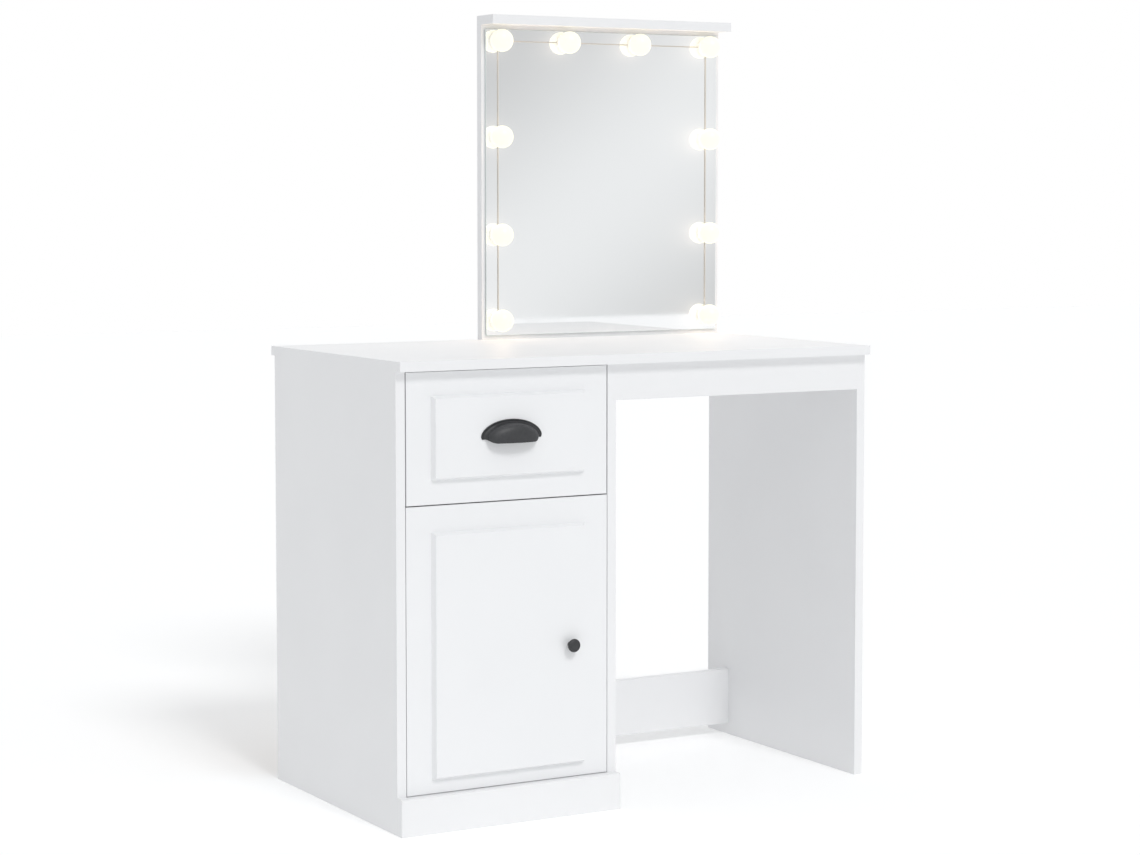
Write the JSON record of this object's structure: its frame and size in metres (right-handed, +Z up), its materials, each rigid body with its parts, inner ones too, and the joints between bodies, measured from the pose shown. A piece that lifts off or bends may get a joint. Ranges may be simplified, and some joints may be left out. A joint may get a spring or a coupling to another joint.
{
  "type": "vanity table with mirror",
  "caption": "White vanity table with a drawer and a door at the left, a kneehole at the right, and an upright mirror framed by small lit globe lamps.",
  "frame": {"origin": "on the floor, below the middle of the object's box", "axes": "+X to the right along the worktop, +Y from the drawer front to the back, +Z up"},
  "size_m": [0.9, 0.516, 1.325],
  "materials": {
    "white_board": "white melamine foil on particle board, satin",
    "white_lacquer": "milled fibreboard front, white satin lacquer",
    "hardboard": "thin hardboard, one side printed white",
    "beech_dowel": "raw beech, fluted",
    "zinc_steel": "zinc plated steel",
    "hinge_nickel": "nickel plated steel",
    "black_metal": "matte charcoal black powder coat",
    "mirror_silver": "silvered float glass",
    "foam_tape": "double sided foam tape",
    "lamp_opal": "opal plastic globe, lit warm white",
    "lamp_white": "white moulded plastic",
    "led_board": "white circuit board with light chips",
    "wire_clear": "thin pale insulated wire"
  },
  "bodies": {
    "carcass": {"worktop": "white_board", "left_side_panel": "white_board", "divider_panel": "white_board", "right_leg_panel": "white_board", "plinth_board": "white_board", "cabinet_floor": "white_board", "drawer_partition": "white_board", "front_apron": "white_board", "back_rail": "white_board", "mirror_board": "white_board", "mirror_header": "white_board", "cabinet_back": "hardboard", "dowels": "beech_dowel", "cam_housings": "zinc_steel", "cam_bolts": "zinc_steel", "cabinet_screws": "zinc_steel", "mirror_board_screws": "zinc_steel", "left_runner_cabinet_member": "zinc_steel", "right_runner_cabinet_member": "zinc_steel", "lower_hinge_arm": "hinge_nickel", "lower_hinge_plate": "hinge_nickel", "upper_hinge_arm": "hinge_nickel", "upper_hinge_plate": "hinge_nickel", "mirror_glass": "mirror_silver", "mirror_tape": "foam_tape", "lamp_globe_1": "lamp_opal", "lamp_globe_2": "lamp_opal", "lamp_globe_3": "lamp_opal", "lamp_globe_4": "lamp_opal", "lamp_globe_5": "lamp_opal", "lamp_globe_6": "lamp_opal", "lamp_globe_7": "lamp_opal", "lamp_globe_8": "lamp_opal", "lamp_globe_9": "lamp_opal", "lamp_globe_10": "lamp_opal", "lamp_bases": "lamp_white", "lamp_led_boards": "led_board", "lamp_wires": "wire_clear"},
    "drawer": {"drawer_front": "white_lacquer", "drawer_inner_front": "white_board", "drawer_left_side": "white_board", "drawer_right_side": "white_board", "drawer_back": "white_board", "drawer_bottom": "hardboard", "drawer_pull": "black_metal", "pull_screws": "zinc_steel", "drawer_box_screws": "zinc_steel", "drawer_runner_screws": "zinc_steel", "left_runner_drawer_member": "zinc_steel", "right_runner_drawer_member": "zinc_steel"},
    "door": {"cabinet_door": "white_lacquer", "door_knob": "black_metal", "knob_screw": "zinc_steel", "hinge_cup_screws": "zinc_steel", "lower_hinge_cup": "hinge_nickel", "lower_hinge_link": "hinge_nickel", "upper_hinge_cup": "hinge_nickel", "upper_hinge_link": "hinge_nickel"},
    "left_runner_middle": {"left_runner_middle_member": "zinc_steel"},
    "right_runner_middle": {"right_runner_middle_member": "zinc_steel"}
  },
  "joints": [
    {"name": "drawer_slide", "type": "slide", "parent": "carcass", "child": "drawer", "axis": [0, -1, 0], "range_m": [0, 0.35]},
    {"name": "left_runner_slide", "type": "slide", "parent": "carcass", "child": "left_runner_middle", "axis": [0, -1, 0], "range_m": [0, 0.175]},
    {"name": "right_runner_slide", "type": "slide", "parent": "carcass", "child": "right_runner_middle", "axis": [0, -1, 0], "range_m": [0, 0.175]},
    {"name": "door_hinge", "type": "hinge", "parent": "carcass", "child": "door", "pos_m": [-0.4328, -0.226, 0.29], "axis": [0, 0, -1], "range_deg": [0, 105]}
  ],
  "couplings": [
    {"joint": "left_runner_slide", "follows": "drawer_slide", "ratio": 0.5},
    {"joint": "right_runner_slide", "follows": "drawer_slide", "ratio": 0.5}
  ]
}
